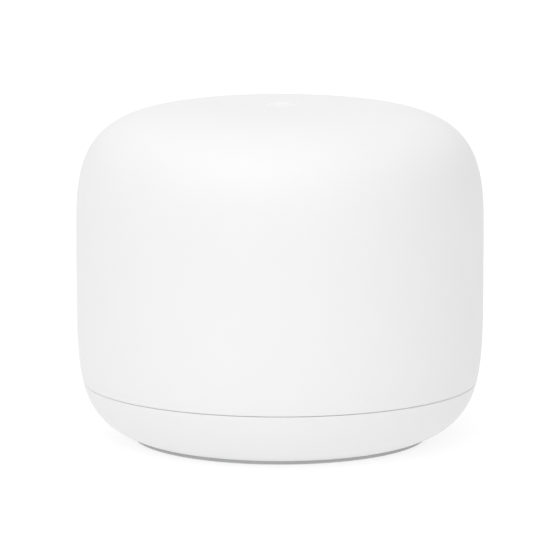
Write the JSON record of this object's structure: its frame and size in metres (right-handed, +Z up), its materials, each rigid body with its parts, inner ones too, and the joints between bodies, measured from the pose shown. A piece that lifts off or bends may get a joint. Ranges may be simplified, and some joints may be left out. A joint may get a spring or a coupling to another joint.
{
  "type": "wireless router",
  "caption": "Round dome-shaped wireless router with a smooth white case, a recessed cable bay at the back and a sprung reset button underneath.",
  "frame": {"origin": "on the table, at the centre of the foot, under the middle of the case", "axes": "+Z up; the front faces -Y and the cable bay opens towards +Y; +X is to the right seen from the front"},
  "size_m": [0.11, 0.11, 0.0904],
  "materials": {
    "white_cover": "fine satin moulded texture",
    "base_grey": "fine matt moulded texture",
    "bay_white": "fine matt moulded texture",
    "foot_rubber": "matt silicone",
    "button_grey": "satin",
    "black_plastic": "moulded",
    "board_green": "solder mask",
    "chip_black": "epoxy",
    "thermal_pad": "soft matt",
    "antenna_frame": "moulded",
    "antenna_flex": "polyimide film over copper",
    "coax_jacket": "satin",
    "clear_guide": "clear acrylic",
    "led_white": "phosphor",
    "nickel": "bright nickel plate",
    "gold": "gold flash",
    "cast_aluminium": "die-cast, bead blasted",
    "screw_steel": "zinc plated"
  },
  "bodies": {
    "housing": {"upper_cover": "white_cover", "lower_cover": "white_cover", "foot_ring": "foot_rubber", "base_plate": "base_grey", "port_bay": "bay_white", "lan_jack_shield": "nickel", "lan_jack_insert": "black_plastic", "lan_jack_contacts": "gold", "wan_jack_shield": "nickel", "wan_jack_insert": "black_plastic", "wan_jack_contacts": "gold", "power_jack_body": "black_plastic", "power_jack_pin": "nickel", "power_jack_contact": "nickel", "reset_switch_body": "black_plastic", "main_board": "board_green", "cpu_shield": "nickel", "cpu_thermal_pad": "thermal_pad", "radio_5g_shield": "nickel", "radio_5g_thermal_pad": "thermal_pad", "radio_2g_shield": "nickel", "radio_2g_thermal_pad": "thermal_pad", "cpu_chip": "chip_black", "ram_chip": "chip_black", "flash_chip": "chip_black", "radio_5g_chip": "chip_black", "radio_2g_chip": "chip_black", "ethernet_chip": "chip_black", "power_inductor": "chip_black", "lan_magnetics": "black_plastic", "bulk_capacitor_1": "screw_steel", "bulk_capacitor_2": "screw_steel", "status_led": "led_white", "light_pipe": "clear_guide", "heat_sink": "cast_aluminium", "antenna_frame": "antenna_frame", "antenna_5g_1": "antenna_flex", "antenna_5g_1_lead": "coax_jacket", "antenna_2g_1": "antenna_flex", "antenna_2g_1_lead": "coax_jacket", "antenna_5g_2": "antenna_flex", "antenna_5g_2_lead": "coax_jacket", "antenna_smart_home": "antenna_flex", "antenna_smart_home_lead": "coax_jacket", "antenna_5g_3": "antenna_flex", "antenna_5g_3_lead": "coax_jacket", "antenna_2g_2": "antenna_flex", "antenna_2g_2_lead": "coax_jacket", "antenna_5g_4": "antenna_flex", "antenna_5g_4_lead": "coax_jacket", "case_screw_1": "screw_steel", "case_screw_2": "screw_steel", "case_screw_3": "screw_steel", "case_screw_4": "screw_steel", "frame_screw_1": "screw_steel", "frame_screw_2": "screw_steel", "frame_screw_3": "screw_steel"},
    "reset_button": {"reset_button": "button_grey"},
    "switch_plunger": {"reset_switch_plunger": "button_grey"}
  },
  "joints": [
    {"name": "reset_press", "type": "slide", "parent": "housing", "child": "reset_button", "axis": [0, 0, 1], "range_m": [0, 0.0006], "stiffness_N_per_m": 1500},
    {"name": "plunger_travel", "type": "slide", "parent": "housing", "child": "switch_plunger", "axis": [0, 0, 1], "range_m": [0, 0.0003]}
  ],
  "couplings": [
    {"joint": "plunger_travel", "follows": "reset_press", "ratio": 0.5}
  ]
}
